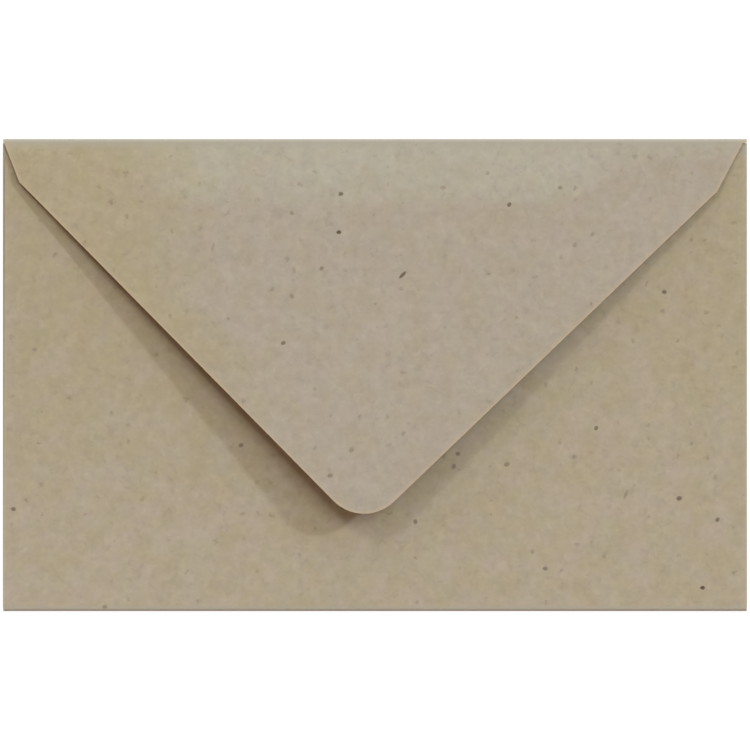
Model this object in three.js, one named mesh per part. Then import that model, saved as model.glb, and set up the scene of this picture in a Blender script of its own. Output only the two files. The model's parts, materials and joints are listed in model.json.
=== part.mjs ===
// Kraft paper envelope with a deep pointed flap. It lies on its front with the flap sprung a little open.
// Millimetres, +Z up, +Y towards the flap crease. The origin is on the table, under the envelope's middle.
//
// The envelope is one die-cut blank, and its middle is the front panel. The two side flaps fold in over
// it, the back panel folds up over the side flaps and is glued to them, and the seal flap folds down over
// the back panel. Each panel and each rolled fold is a mesh of its own. The other meshes are the glue in
// both side seams and the gum on the seal flap.
import * as THREE from "three";

// Overall size
const WIDTH = 175; // over both side folds
const HEIGHT = 111; // from the bottom fold to the flap crease

// Sheet and films
const PAPER = 0.2; // thickness of the kraft sheet
const POCKET = 0.6; // clear height of the empty pocket under the side flaps
const GLUE_FILM = 0.05; // cured glue between a side flap and the back panel
const GUM_FILM = 0.05; // dried gum on the inside of the seal flap
const GUM_SEAT = 0.02; // between the gum and the paper it is coated on
const CLOSED_GAP = 0.1; // under the gum when the seal flap lies parallel to the back panel

// Side flaps
const SIDE_FLAP_WIDTH = 20; // from the side fold to the free edge
const SIDE_FLAP_TAPER = 8.5; // how much shorter the free edge is at each end
const SIDE_FLAP_CORNER = 3; // radius of the free corners
const CORNER_RELIEF = 0.15; // bare length of side edge beside each corner of the front panel

// Both the bottom fold and the flap crease run nearly out to the side folds
const ROOT_INSET = 0.1; // from the side folds to their ends

// Back panel
const BACK_TAPER = 0.4; // how much each side edge leans in from the bottom fold's end up to the mouth
const BACK_CORNER = 2.5; // radius of the upper corners
const MOUTH_DEPTH = 3; // from the flap crease down to the upper edge, beside the side folds
const THROAT_DEPTH = 13; // from the flap crease down to the upper edge, at the middle
const THROAT_HALF = 46; // half the length of the throat's straight bottom
const THROAT_SLOPE = 16; // width of the slope at each end of the throat
const THROAT_BEND = 22; // radius of the bends into and out of the throat

// Side seams
const GLUE_WIDTH = 8;
const GLUE_MARGIN = 3; // from the side flap's free edge to the glue
const GLUE_END_MARGIN = 4; // from the ends of the side flap's free edge to the glue

// Seal flap, measured from the outer edge of the crease when the flap lies closed
const FLAP_ROOT_LEFT = 0.35; // from the left side fold to the flap's root
const FLAP_ROOT_RIGHT = 1.1; // from the right side fold to the flap's root
const SHOULDER_INSET = 5.55; // from the side folds to the flap's shoulders
const SHOULDER_DEPTH = 11.4;
const FLAP_DEPTH = 88.3; // to the rounded tip
const TIP_RADIUS = 10;
const FLAP_SKEW = 0.8; // degrees by which the flap was folded off square
const FLAP_SHIFT = -1.45; // and how far it was shifted sideways
const FLAP_LIFT = 5; // degrees by which the flap springs up at rest
const CREASE_LIP = 0.3; // flat stretch of the crease before the flap begins
const CREASE_SLIT = 0.02; // between that lip and the flap

// Gum, a V along both slanting edges of the seal flap
const GUM_MARGIN = 2.5; // from the flap's edge to the gum
const GUM_WIDTH = 11;
const GUM_END_MARGIN = 12; // from a shoulder to the end of the gum, along the slanting edge
const GUM_INNER_RADIUS = 4; // inside bend of the V

// Facets
const ARC_SEGMENTS = 6; // each arc gets twice as many

const DEGREE = Math.PI / 180;
const QUARTER = Math.PI / 2;

// Heights of the stack, from the table up
const SIDE_FLAP_Z = PAPER + POCKET;
const GLUE_Z = SIDE_FLAP_Z + PAPER;
const BACK_Z = GLUE_Z + GLUE_FILM;
const CLOSED_FLAP_Z = BACK_Z + PAPER + CLOSED_GAP + GUM_FILM + GUM_SEAT;

// Each fold is half a roll, as thick as the sheets that it joins and what lies between them
const SIDE_ROLL = (SIDE_FLAP_Z + PAPER) / 2;
const BOTTOM_ROLL = (BACK_Z + PAPER) / 2;
const CREASE_ROLL = (CLOSED_FLAP_Z + PAPER) / 2;

// The front panel ends where the rolls begin
const SIDE_X = WIDTH / 2 - SIDE_ROLL;
const BOTTOM_Y = BOTTOM_ROLL - HEIGHT / 2;
const CREASE_Y = HEIGHT / 2 - CREASE_ROLL;

const ROOT_HALF = WIDTH / 2 - ROOT_INSET;

// The side flaps and their folds run between these, and the flaps reach in to their free edges
const SIDE_BOTTOM_Y = BOTTOM_Y + CORNER_RELIEF;
const SIDE_TOP_Y = CREASE_Y - CORNER_RELIEF;
const SIDE_FREE_X = WIDTH / 2 - SIDE_FLAP_WIDTH;

const kraft = new THREE.MeshStandardMaterial({ color: 0xada08a, roughness: 0.92, metalness: 0 });
const seamGlue = new THREE.MeshStandardMaterial({ color: 0xe6dcc0, roughness: 0.55, metalness: 0 });
const sealGum = new THREE.MeshStandardMaterial({ color: 0xc2ad80, roughness: 0.28, metalness: 0 });

function named(name, geometry, material = kraft) {
  const mesh = new THREE.Mesh(geometry, material);
  mesh.name = name;
  return mesh;
}

function extruded(shape, depth) {
  return new THREE.ExtrudeGeometry(shape, { depth, bevelEnabled: false, curveSegments: ARC_SEGMENTS });
}

// A flat film or sheet with the given outline, its underside at height z.
function sheet(name, outline, thickness, z, material) {
  const mesh = named(name, extruded(outline, thickness), material);
  mesh.position.z = z;
  return mesh;
}

// Turns a polygon into a shape whose corners are rounded to the radius given with each point.
function roundedOutline(corners) {
  const shape = new THREE.Shape();
  const count = corners.length;
  corners.forEach(({ point, radius = 0 }, i) => {
    const before = corners[(i + count - 1) % count].point;
    const after = corners[(i + 1) % count].point;
    const back = before.clone().sub(point).normalize();
    const forth = after.clone().sub(point).normalize();
    const turn = Math.acos(THREE.MathUtils.clamp(back.dot(forth), -1, 1));
    const reach = radius / Math.tan(turn / 2);
    const start = point.clone().addScaledVector(back, reach);
    const moveOrLine = i ? "lineTo" : "moveTo";
    shape[moveOrLine](start.x, start.y);
    if (!radius) return;
    const middle = back.clone().add(forth).normalize();
    const centre = point.clone().addScaledVector(middle, radius / Math.sin(turn / 2));
    const end = point.clone().addScaledVector(forth, reach);
    const from = start.clone().sub(centre).angle();
    const to = end.clone().sub(centre).angle();
    const clockwise = back.cross(forth) > 0;
    shape.absarc(centre.x, centre.y, radius, from, to, clockwise);
  });
  shape.closePath();
  return shape;
}

function corner(x, y, radius = 0) {
  return { point: new THREE.Vector2(x, y), radius };
}

function frontPanel() {
  const outline = roundedOutline([
    corner(-SIDE_X, BOTTOM_Y),
    corner(SIDE_X, BOTTOM_Y),
    corner(SIDE_X, CREASE_Y),
    corner(-SIDE_X, CREASE_Y),
  ]);
  return sheet("front_panel", outline, PAPER, 0);
}

// The cross-section of a fold, with the roll's axis at the origin and the fold bulging to the right. It runs
// from the front panel's edge, below, round to the sheet above. Lift stops it short of a half turn, and lip
// adds a flat stretch there.
function rollProfile(radius, lift = 0, lip = 0) {
  const inner = radius - PAPER;
  const end = QUARTER - lift;
  const along = new THREE.Vector2(-Math.sin(end), Math.cos(end)).multiplyScalar(lip);
  const onArc = (r) => new THREE.Vector2(r * Math.cos(end), r * Math.sin(end));
  const profile = new THREE.Shape();
  profile.moveTo(0, -radius);
  profile.absarc(0, 0, radius, -QUARTER, 0, false);
  profile.absarc(0, 0, radius, 0, end, false);
  if (lip) {
    const outerTip = onArc(radius).add(along);
    const innerTip = onArc(inner).add(along);
    profile.lineTo(outerTip.x, outerTip.y);
    profile.lineTo(innerTip.x, innerTip.y);
  }
  profile.absarc(0, 0, inner, end, 0, true);
  profile.absarc(0, 0, inner, 0, -QUARTER, true);
  profile.closePath();
  return profile;
}

// A fold along a crease from one point of the front panel's edge to another, with the panel on its left.
function fold(name, from, to, radius, lift, lip) {
  const run = to.clone().sub(from);
  const mesh = named(name, extruded(rollProfile(radius, lift, lip), run.length()));
  const along = new THREE.Vector3(run.x, run.y, 0).normalize();
  const up = new THREE.Vector3(0, 0, 1);
  const outwards = new THREE.Vector3().crossVectors(up, along).negate();
  // The profile's right, up and depth become outwards, up and back along the crease, so it isn't mirrored.
  mesh.geometry.applyMatrix4(new THREE.Matrix4().makeBasis(outwards, up, along.clone().negate()));
  mesh.position.set(to.x, to.y, radius);
  return mesh;
}

function sideFold(name, side) {
  const low = new THREE.Vector2(side * SIDE_X, SIDE_BOTTOM_Y);
  const high = new THREE.Vector2(side * SIDE_X, SIDE_TOP_Y);
  return side > 0 ? fold(name, low, high, SIDE_ROLL) : fold(name, high, low, SIDE_ROLL);
}

function bottomFold() {
  const left = new THREE.Vector2(-ROOT_HALF, BOTTOM_Y);
  const right = new THREE.Vector2(ROOT_HALF, BOTTOM_Y);
  return fold("bottom_fold", left, right, BOTTOM_ROLL);
}

function flapCrease() {
  const right = new THREE.Vector2(ROOT_HALF, CREASE_Y);
  const left = new THREE.Vector2(-ROOT_HALF, CREASE_Y);
  return fold("flap_crease", right, left, CREASE_ROLL, FLAP_LIFT * DEGREE, CREASE_LIP);
}

function sideFlap(name, side) {
  const corners = [
    corner(side * SIDE_X, SIDE_BOTTOM_Y),
    corner(side * SIDE_X, SIDE_TOP_Y),
    corner(side * SIDE_FREE_X, SIDE_TOP_Y - SIDE_FLAP_TAPER, SIDE_FLAP_CORNER),
    corner(side * SIDE_FREE_X, SIDE_BOTTOM_Y + SIDE_FLAP_TAPER, SIDE_FLAP_CORNER),
  ];
  if (side < 0) corners.reverse();
  return sheet(name, roundedOutline(corners), PAPER, SIDE_FLAP_Z);
}

function seamGlueFilm(name, side) {
  const inner = side * (SIDE_FREE_X + GLUE_MARGIN);
  const outer = side * (SIDE_FREE_X + GLUE_MARGIN + GLUE_WIDTH);
  const bottom = SIDE_BOTTOM_Y + SIDE_FLAP_TAPER + GLUE_END_MARGIN;
  const top = SIDE_TOP_Y - SIDE_FLAP_TAPER - GLUE_END_MARGIN;
  const round = GLUE_WIDTH / 4;
  const corners = [
    corner(inner, bottom, round),
    corner(outer, bottom, round),
    corner(outer, top, round),
    corner(inner, top, round),
  ];
  if (side < 0) corners.reverse();
  return sheet(name, roundedOutline(corners), GLUE_FILM, GLUE_Z, seamGlue);
}

// The back panel's upper edge runs straight in from both corners and then bends down into a straight throat.
function backPanel() {
  const mouth = HEIGHT / 2 - MOUTH_DEPTH;
  const throat = HEIGHT / 2 - THROAT_DEPTH;
  const throatEnd = THROAT_HALF + THROAT_SLOPE;
  const upperHalf = ROOT_HALF - BACK_TAPER;
  const outline = roundedOutline([
    corner(-ROOT_HALF, BOTTOM_Y),
    corner(ROOT_HALF, BOTTOM_Y),
    corner(upperHalf, mouth, BACK_CORNER),
    corner(throatEnd, mouth, THROAT_BEND),
    corner(THROAT_HALF, throat, THROAT_BEND),
    corner(-THROAT_HALF, throat, THROAT_BEND),
    corner(-throatEnd, mouth, THROAT_BEND),
    corner(-upperHalf, mouth, BACK_CORNER),
  ]);
  return sheet("back_panel", outline, PAPER, BACK_Z);
}

// Each slanting edge of the flap runs from its shoulder to touch the tip's circle. Drawn on, both would meet
// in a point at POINT_DEPTH, each at HALF_POINT_ANGLE to the flap's middle line.
const SHOULDER = new THREE.Vector2(WIDTH / 2 - SHOULDER_INSET, -SHOULDER_DEPTH);
const TIP_CENTRE = new THREE.Vector2(0, TIP_RADIUS - FLAP_DEPTH);
const TIP_TO_SHOULDER = SHOULDER.clone().sub(TIP_CENTRE);
const HALF_POINT_ANGLE =
  QUARTER - TIP_TO_SHOULDER.angle() - Math.asin(TIP_RADIUS / TIP_TO_SHOULDER.length());
const POINT_DEPTH = FLAP_DEPTH - TIP_RADIUS + TIP_RADIUS / Math.sin(HALF_POINT_ANGLE);

// Turns and shifts a corner of the flap, which was folded off square, and measures it from the roll's axis.
function skewed(x, y, radius) {
  const point = new THREE.Vector2(x, y).rotateAround(new THREE.Vector2(), -FLAP_SKEW * DEGREE);
  return corner(point.x + FLAP_SHIFT, point.y + CREASE_ROLL, radius);
}

function flapOutline() {
  const root = -CREASE_LIP - CREASE_SLIT;
  return roundedOutline([
    corner(WIDTH / 2 - FLAP_ROOT_RIGHT, root),
    corner(FLAP_ROOT_LEFT - WIDTH / 2, root),
    skewed(-SHOULDER.x, SHOULDER.y),
    skewed(0, -POINT_DEPTH, TIP_RADIUS),
    skewed(SHOULDER.x, SHOULDER.y),
  ]);
}

// The V has an outer line along the flap's slanting edges and an inner line GUM_WIDTH further in.
function gumOutline() {
  const along = new THREE.Vector2(Math.sin(HALF_POINT_ANGLE), Math.cos(HALF_POINT_ANGLE));
  const inwards = new THREE.Vector2(-along.y, along.x);
  const end = SHOULDER.clone().addScaledVector(along, -GUM_END_MARGIN);
  const outerEnd = end.clone().addScaledVector(inwards, GUM_MARGIN);
  const innerEnd = outerEnd.clone().addScaledVector(inwards, GUM_WIDTH);
  const lowest = (offset) => offset / Math.sin(HALF_POINT_ANGLE) - POINT_DEPTH;
  const round = GUM_WIDTH / 4;
  return roundedOutline([
    skewed(0, lowest(GUM_MARGIN), TIP_RADIUS - GUM_MARGIN),
    skewed(outerEnd.x, outerEnd.y, round),
    skewed(innerEnd.x, innerEnd.y, round),
    skewed(0, lowest(GUM_MARGIN + GUM_WIDTH), GUM_INNER_RADIUS),
    skewed(-innerEnd.x, innerEnd.y, round),
    skewed(-outerEnd.x, outerEnd.y, round),
  ]);
}

// The flap and its gum turn about the crease roll's axis. The group holds them as they lie when closed.
function turningFlap() {
  const flap = new THREE.Group();
  flap.position.set(0, CREASE_Y, CREASE_ROLL);
  flap.rotation.x = -FLAP_LIFT * DEGREE;
  const inside = CREASE_ROLL - PAPER;
  flap.add(sheet("seal_flap", flapOutline(), PAPER, inside));
  flap.add(sheet("flap_gum", gumOutline(), GUM_FILM, inside - GUM_SEAT - GUM_FILM, sealGum));
  return flap;
}

const envelope = new THREE.Group();
envelope.add(frontPanel(), bottomFold(), backPanel(), flapCrease(), turningFlap());
for (const [word, side] of [
  ["left", -1],
  ["right", 1],
]) {
  envelope.add(sideFold(`${word}_side_fold`, side));
  envelope.add(sideFlap(`${word}_side_flap`, side));
  envelope.add(seamGlueFilm(`${word}_seam_glue`, side));
}

export default envelope;
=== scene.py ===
"""Dresses a kraft paper envelope: three folded sheets of its blank, the gum, the seam glue and the shives.

Everything is in metres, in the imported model's frame: the envelope lies on its front, +Y towards the flap
crease and +Z up. Each sheet is first laid out flat, as it was die-cut, and then folded round its creases.
In the flat layout x and y are places on the blank and z is the depth into the paper, from the outer face.
"""

import json
import math

import bpy
import numpy as np
from bpy.props import FloatProperty, FloatVectorProperty, IntProperty, PointerProperty
from bpy.types import Operator, Panel, PropertyGroup
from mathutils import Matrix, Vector


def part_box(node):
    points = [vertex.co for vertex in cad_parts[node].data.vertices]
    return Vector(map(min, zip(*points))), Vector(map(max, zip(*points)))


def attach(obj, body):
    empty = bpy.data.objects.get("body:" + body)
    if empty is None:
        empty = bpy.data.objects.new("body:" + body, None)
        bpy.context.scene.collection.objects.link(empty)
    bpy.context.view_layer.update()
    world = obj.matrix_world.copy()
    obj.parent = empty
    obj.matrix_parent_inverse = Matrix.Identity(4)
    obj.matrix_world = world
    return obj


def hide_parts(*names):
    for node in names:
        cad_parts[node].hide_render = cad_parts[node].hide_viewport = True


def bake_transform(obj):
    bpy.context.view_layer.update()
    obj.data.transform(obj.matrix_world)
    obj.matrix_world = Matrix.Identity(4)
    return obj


bl_info = {
    "name": "Kraft Envelope",
    "version": (1, 0, 0),
    "blender": (4, 5, 0),
    "location": "3D View > Sidebar > Envelope",
    "description": "Folds a kraft paper envelope round its packed frame and sets it on a plain stage",
    "category": "Object",
}

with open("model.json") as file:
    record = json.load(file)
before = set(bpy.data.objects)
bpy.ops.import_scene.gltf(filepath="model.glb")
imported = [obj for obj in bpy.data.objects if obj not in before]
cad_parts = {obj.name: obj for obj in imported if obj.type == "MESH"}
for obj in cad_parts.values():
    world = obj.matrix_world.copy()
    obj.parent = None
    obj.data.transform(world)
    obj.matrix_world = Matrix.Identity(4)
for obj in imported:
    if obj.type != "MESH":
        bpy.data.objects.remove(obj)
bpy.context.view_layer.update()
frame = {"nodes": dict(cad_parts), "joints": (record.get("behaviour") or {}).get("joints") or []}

MM = 0.001

# Places that come from the frame
FRONT_LOW, FRONT_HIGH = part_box("front_panel")
PAPER = FRONT_HIGH.z - FRONT_LOW.z
SIDE_X = FRONT_HIGH.x
BOTTOM_Y = FRONT_LOW.y
CREASE_Y = FRONT_HIGH.y
SIDE_FLAP_LOW, SIDE_FLAP_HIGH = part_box("right_side_flap")
BACK_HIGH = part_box("back_panel")[1]
FLAP_LOW, FLAP_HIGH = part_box("seal_flap")
ROOT_HALF, TOP_Y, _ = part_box("flap_crease")[1]
SIDE_ROLL = SIDE_FLAP_HIGH.z / 2
BOTTOM_ROLL = BACK_HIGH.z / 2
HINGE = frame["joints"][0]
CREASE_ROLL = HINGE["pos_m"][2]
FLAP_TURN = math.pi + math.radians(HINGE["range_deg"][0])  # at rest the flap stands a little off the pocket

# How the sheets are gridded
ROLL_STEPS = 14  # rows round each roll
GRID_STEP = 1.6 * MM  # widest cell
EDGE_LINES = (0.1 * MM, 0.25 * MM, 0.5 * MM, 0.9 * MM)  # extra lines beside a cut edge
EDGE_SHARE = 0.08  # the most of a row's width from one of those lines to the next
CLOSEST = 0.02 * MM  # places nearer than this along a sheet become one
ARC_STEPS = 14  # of a rounded corner
FOLD_STEP = 0.03 * MM  # the length in which a side fold narrows to its side flap
TIP_GAP = 0.004 * MM  # from the flap's last row to its lowest point
TINY = 1e-12  # keeps a stretch of no length from dividing by zero
SHARP = math.radians(50)  # edges sharper than this show as edges
EDGE_WIDTH = 0.9 * MM  # how far in the raw fibres of a cut edge, and the painted highlight along it, show
CREASE_WIDTH = 0.9 * MM  # how far the crushed paper, and the painted light on it, reach beside a roll

# From a roll to where the paper starts to be loose, and to where it is wholly loose
FLAP_LOOSE = (3 * MM, 22 * MM)
BACK_LOOSE = (2 * MM, 16 * MM)
# From the side flaps' free edges, outwards, to where the back panel starts to be held, and is held fast
BACK_HELD = (-14 * MM, 1 * MM)
RIPPLE_RANGE = (0.25, 0.75)  # of the noise, from flat paper to a full ripple
BACK_SEED = 1  # more than the seed that the user sets
FLAP_SEED = 2

# The band above the throat that holds a painted highlight, lighter and cooler where the flap catches more
# light
THROAT_OVERLAP = 2 * MM  # how far below the throat it reaches
THROAT_BLUR = 1.5 * MM  # how soft its lower border is, to each side
THROAT_FADE = 6 * MM  # how far inside the throat's corners it starts to fade
THROAT_LOSS = 0.5  # of its strength, down to its border and again past its corners

GUM_DEPTH = 0.05 * MM  # how far the gum stands off the flap's inner face
GUM_ROWS = 60  # along each straight arm of the gum's V
GUM_COLUMNS = 10
GUM_END_ROWS = 3  # in which the gum narrows to its ends
GUM_END_WIDTH = 0.75  # of the full width, at the very ends

# The yellower left part of the flap, in millimetres on the blank: its corner, by places across, and a band
# along its left edge, by places across less places along. The band fades towards the tip
LEFT_CORNER = (-0.3 * ROOT_HALF / MM, -0.8 * ROOT_HALF / MM)
LEFT_BAND = (-76 - CREASE_Y / MM, -92 - CREASE_Y / MM)
LEFT_BAND_FADE = (CREASE_Y / MM + 82, CREASE_Y / MM + 30)

# How far apart the swells of each pattern are, in millimetres
DRIFT_SIZE = 45.0
BLOTCH_SIZE = 6.5
TINGE_SIZE = 6.0
FLOC_SIZE = 2.2
PALE_FIBRE_SIZE = 4.2
DARK_FIBRE_SIZE = 5.0
PALE_GATE_SIZE = 2.4
DARK_GATE_SIZE = 2.0
FLECK_SPACING = 3.4
FLECK_WARP_SIZE = 1.1
FLECK_TEAR_SIZE = 0.6
THROAT_HIGHLIGHT_SIZE = 9.0
CRACK_SIZE = 0.9
FUZZ_SIZE = 0.6
SHEEN_SIZE = 1.2
STREAK_SIZE = 0.25
GUM_COVER_SIZE = 3.5
GUM_PEEL_SIZES = (1.1, 0.4)
GLUE_STRAND_SIZE = 0.9
GLUE_BLOTCH_SIZE = 3.0
RELIEF_SIZE = 2.4
TOOTH_SIZE = 0.35

# How high each one stands, in millimetres
RELIEF_HEIGHT = 0.012
TOOTH_HEIGHT = 0.008
CRACK_HEIGHT = 0.02
GUM_PEEL_HEIGHTS = (0.02, 0.004)
GLUE_STRAND_HEIGHT = 0.02

# At which value of its noise each pattern starts, and at which it is full
BLOTCH_RANGE = (0.32, 0.68)
FIBRE_RANGE = (0.045, 0.009)  # of the noise's distance from its middle
PALE_GATE_RANGE = (0.52, 0.58)
DARK_GATE_RANGE = (0.54, 0.60)
FLECK_RANGE = (0.34, 0.14)  # of the distance from the middle of a cell, in cells
FLECK_CHANCE = (0.74, 0.76)  # of a cell's own random number
THROAT_HIGHLIGHT_RANGE = (0.25, 0.6)
CRACK_RANGE = (0.45, 0.75)
GUM_COVER_RANGE = (0.35, 0.65)

# How strongly each one shows: as a share of the paper's brightness, and for a fleck, of the darkest shive
FLOC_STRENGTH = 0.29
PALE_FIBRE_STRENGTH = 0.04
DARK_FIBRE_STRENGTH = 0.06
TINGE_STRENGTH = (0.05, -0.05, 0.03)
FLECK_STRENGTH = 0.06  # the faintest one's
FLECK_STRENGTH_MORE = 0.28  # how much more the darkest one's is
DRIFT_SHARE = 0.25  # of the pulp's hue, and the blotches give the rest
FLAP_CALM = 0.3  # how much evener the flap's hue is
FLECK_WARP = 1.6  # how far the cells of the flecks are bent, in millimetres
FLECK_TEAR = 0.26  # how far the edges of the flecks are torn, as a share of a cell

# What each pattern changes, from its value where the pattern is 0 to its value where it is 1
FLECK_WIDTHS = (0.7, 1.3)
THROAT_HIGHLIGHT_SHARE = (0.7, 1.1)
CRUSHED_AND_LIT_SHARE = (0.85, 0.55)
# How much the cut edges show as pale raw fibres and a painted highlight along them
RAW_EDGE_AND_HIGHLIGHT_SHARE = (0.1, 0.4)
RAW_EDGE_AND_HIGHLIGHT_ON_FLAP = 0.25  # this much more there
KRAFT_ROUGHNESS = (0.86, 0.96)
SHIVE_CORE_SHARE = (0.15, 1.0)
SHIVE_STREAK_SHARE = (0.75, 1.25)
SHIVE_ROUGHNESS = (0.80, 0.95)
GUM_SHARE = (0.35, 0.80)
GUM_EDGE_AND_HIGHLIGHT_SHARE = 0.4
GUM_ROUGHNESS = (0.24, 0.46)  # from a full cover of gum to a thin one
GLUE_PAPER_SHARE = (0.25, 0.75)
GLUE_STRAND_SHADE = (0.90, 1.10)
GLUE_ROUGHNESS = (0.45, 0.65)
GLUE_STRETCH = (1.0, 0.12, 1.0)  # draws the strands out along the seam

# How far apart two patterns of one noise are read, in millimetres, so that they don't match
DRIFT_SHIFT = (7.0, 91.0, 3.0)
TINGE_SHIFT = (19.0, 63.0, 8.0)
FLOC_SHIFT = (3.0, 29.0, 1.0)
DARK_FIBRE_SHIFT = (77.0, 5.0, 2.0)
FIBRE_GATE_SHIFT = (31.0, 17.0, 5.0)
THROAT_HIGHLIGHT_SHIFT = (0.0, 0.0, 6.0)
GUM_SHIFT = (500.0, 0.0, 0.0)
INNER_SHIFT = 0.5  # metres along the blank, from a sheet's outer face to its inner one

# The stage
VIEW_WIDTH = 176.3 * MM  # what the photograph's frame takes in, level with the envelope
CAMERA_HEIGHT = 1.2
CAMERA_REACH = 10 * CAMERA_HEIGHT
SENSOR = 36.0  # millimetres
FLOOR_SIZE = 3.0
FLOOR_DROP = 0.2 * MM
KEY_DIRECTION = Vector((1.40, 0.68, 1.00))  # towards the lamp
OVERHEAD_DIRECTION = Vector((0.34, 0.31, 1.00))
FILL_DIRECTION = Vector((-0.31, 0.58, 0.75))
KEY_SPREAD = math.radians(4)
OVERHEAD_SPREAD = math.radians(24)
FILL_SPREAD = math.radians(8)
SIDE_SHARE = 2 / (3 * math.pi)  # what a sky as bright as its slope to one side gives a level sheet
FLOOR_LIFT = 0.85  # share of the floor's white that the camera sees whatever the light
FLOOR_GLOW = 1.1
FLOOR_COLOUR = (0.82, 0.82, 0.82, 1.0)
WHITE = (1.0, 1.0, 1.0, 1.0)

DROP_HEIGHT = 0.1  # from which the placed shives are dropped on the paper
UNCREASED = 0.01  # small shives keep to where the paper is creased less than this
CORE_RISE = 0.42  # how far from its middle plane a shive a unit wide is wholly core

# How thickly the small shives lie in each sheet, to the square metre, the longest one's length and the
# darkest one's shade
FINE_SHIVES = (
    ("front", "pocket", 6000.0, 0.8 * MM, 0.9),
    ("back", "pocket", 4000.0, 0.5 * MM, 0.3),
    ("flap", "flap", 4000.0, 0.5 * MM, 0.3),
)

# Length and width of each kind of shive
SHIVE_KINDS = {
    "dot": (1.35 * MM, 1.1 * MM),
    "chip": (1.6 * MM, 1.2 * MM),
    "flake": (1.9 * MM, 1.0 * MM),
    "splinter": (2.6 * MM, 0.9 * MM),
}

# The shives that show most, placed one by one: each one's place in millimetres from the envelope's middle,
# its kind, its turn in degrees and how dark it is, from 0 to 1
FLAP_SHIVES = (
    (-8.0, 42.5, "dot", 20, 0.65),
    (31.5, 40.0, "dot", 60, 0.65),
    (43.5, 44.0, "dot", 10, 0.35),
    (-8.5, 33.5, "dot", 0, 0.85),
    (-19.5, 38.0, "dot", 140, 0.35),
    (51.0, 33.0, "dot", 30, 0.30),
    (32.5, 24.5, "dot", 80, 0.20),
    (37.5, 23.0, "flake", 15, 0.20),
    (-12.5, 25.0, "dot", 40, 0.45),
    (-19.5, 18.5, "chip", 120, 0.35),
    (-21.5, 7.5, "dot", 30, 0.60),
    (-5.5, -17.5, "chip", 50, 0.35),
    (-10.5, -23.5, "chip", 10, 0.45),
    (6.5, 23.5, "splinter", 45, 0.75),
    (-19.0, 24.5, "flake", 100, 0.20),
    (-38.0, 30.0, "splinter", 75, 0.20),
    (16.0, 44.0, "chip", 0, 0.20),
)
BACK_SHIVES = (
    (68.0, 19.5, "dot", 0, 0.65),
    (52.0, -12.5, "dot", 45, 0.55),
    (-80.0, 6.0, "dot", 0, 0.30),
    (9.5, -34.5, "dot", 90, 0.50),
    (-31.5, -16.5, "dot", 30, 0.50),
    (19.5, -18.5, "dot", 0, 0.50),
    (18.5, -21.5, "chip", 60, 0.45),
    (71.5, -29.0, "chip", 10, 0.65),
    (80.5, -34.0, "dot", 50, 0.60),
    (77.0, -50.0, "dot", 0, 0.85),
    (40.0, -45.5, "dot", 0, 0.50),
    (37.0, -41.5, "dot", 70, 0.25),
    (31.0, -21.0, "chip", 20, 0.40),
    (-85.0, -31.5, "dot", 0, 0.60),
    (-63.5, -54.5, "dot", 0, 0.35),
    (59.0, -28.0, "splinter", 65, 0.30),
    (-53.0, 26.0, "flake", 130, 0.25),
    (80.0, -24.0, "chip", 80, 0.20),
)


def length_property(name, description, default):
    return FloatProperty(name=name, description=description, default=default, unit="LENGTH")


class EnvelopeSizes(PropertyGroup):
    """Sizes of the die-cut blank that the frame's boxes don't give."""

    side_taper: length_property(
        "Side Flap Taper", "How much shorter a side flap's free edge is at each end", 8.5 * MM
    )
    side_corner: length_property("Side Flap Corner", "Radius of a side flap's free corners", 3 * MM)
    back_taper: length_property(
        "Back Panel Taper",
        "How much each side edge of the back panel leans in on its way up to the mouth",
        0.4 * MM,
    )
    back_corner: length_property("Back Panel Corner", "Radius of the back panel's upper corners", 2.5 * MM)
    throat_depth: length_property("Throat Depth", "From the flap crease down to the throat", 13 * MM)
    throat_half: length_property(
        "Throat Half Length", "Half the length of the throat's straight bottom", 46 * MM
    )
    throat_slope: length_property("Throat Slope", "Width of the slope at each end of the throat", 16 * MM)
    throat_bend: length_property("Throat Bend", "Radius of the bends into and out of the throat", 22 * MM)
    crease_lip: length_property(
        "Crease Lip",
        "From the flap crease's roll to the flap's root, which is narrower than the crease",
        0.3 * MM,
    )
    shoulder_inset: length_property(
        "Shoulder Inset", "From the side folds to the flap's shoulders", 5.55 * MM
    )
    shoulder_depth: length_property(
        "Shoulder Depth", "From the flap crease down to the shoulders", 11.4 * MM
    )
    flap_depth: length_property("Flap Depth", "From the flap crease down to the tip", 88.3 * MM)
    tip_radius: length_property("Tip Radius", "Radius of the flap's rounded tip", 10 * MM)
    flap_skew: FloatProperty(
        name="Flap Skew",
        description="How far off square the flap was folded",
        default=math.radians(0.8),
        unit="ROTATION",
    )
    flap_shift: length_property("Flap Shift", "How far the flap was folded to one side", -1.45 * MM)
    gum_margin: length_property("Gum Margin", "From the flap's slanting edge to the gum", 2.5 * MM)
    gum_width: length_property("Gum Width", "Width of the band of gum", 11 * MM)
    gum_end: length_property("Gum End Margin", "From a shoulder to the end of the gum", 12 * MM)
    gum_bend: length_property("Gum Inner Bend", "Radius of the inner bend of the gum's V", 4 * MM)
    ripple: length_property("Ripple", "How far the loose paper strays from flat", 0.12 * MM)
    ripple_length: length_property(
        "Ripple Length", "Distance from one swell of the paper to the next", 38 * MM
    )
    seed: IntProperty(
        name="Seed",
        description="Changes the ripples and where the small shives fall",
        default=7,
    )


def colour_property(name, description, default):
    return FloatVectorProperty(
        name=name, description=description, default=default, subtype="COLOR", size=3, min=0, max=1
    )


def linear(red, green, blue):
    """Scene-linear colour of an 8-bit display colour, by the sRGB curve."""
    return tuple(
        c / 12.92 if c <= 0.04045 else ((c + 0.055) / 1.055) ** 2.4
        for c in (red / 255, green / 255, blue / 255)
    )


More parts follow.
